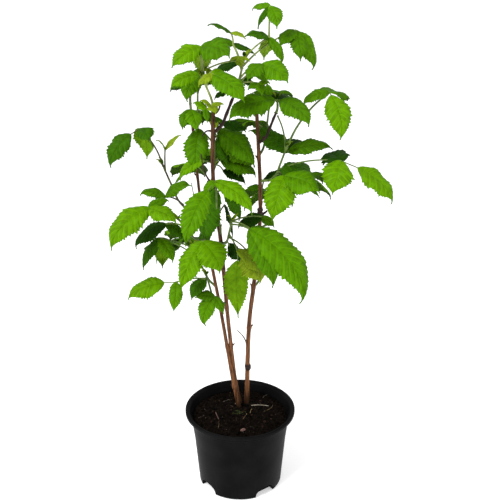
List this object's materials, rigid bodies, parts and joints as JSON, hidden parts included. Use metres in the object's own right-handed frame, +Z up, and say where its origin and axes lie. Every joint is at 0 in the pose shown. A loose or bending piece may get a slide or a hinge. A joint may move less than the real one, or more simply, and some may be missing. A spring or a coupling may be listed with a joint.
{
  "type": "raspberry cane in a pot",
  "caption": "Young leafy raspberry plant with three woody canes standing in a round black nursery pot filled with compost.",
  "frame": {"origin": "centre of the pot's flat underside", "axes": "+Z up, +X to the right as the plant is seen from the front, -Y towards the viewer"},
  "size_m": [0.3534, 0.2836, 0.6572],
  "materials": {
    "pot_plastic": "matte black moulded plastic",
    "compost": "damp dark crumbly compost",
    "bark": "smooth reddish brown bark",
    "foliage": "soft matte green leaf"
  },
  "bodies": {
    "root": {"pot": "pot_plastic", "compost": "compost", "cane_left": "bark", "cane_middle": "bark", "cane_right": "bark", "bough_middle": "bark", "bough_right": "bark", "leaves_fork_tip": "foliage", "leaves_middle_tip": "foliage", "leaves_left_tip": "foliage", "leaves_right_tip": "foliage", "leaves_right": "foliage", "leaves_front_right": "foliage", "leaves_front": "foliage", "leaves_centre": "foliage", "leaves_upper_left": "foliage", "leaves_left": "foliage", "leaves_left_front": "foliage", "leaves_lowest": "foliage", "leaves_back_low_left": "foliage", "leaves_back_low_right": "foliage", "leaves_back_centre": "foliage", "leaves_back_right": "foliage", "leaves_back_high_right": "foliage", "leaves_back_high_left": "foliage"}
  },
  "joints": []
}
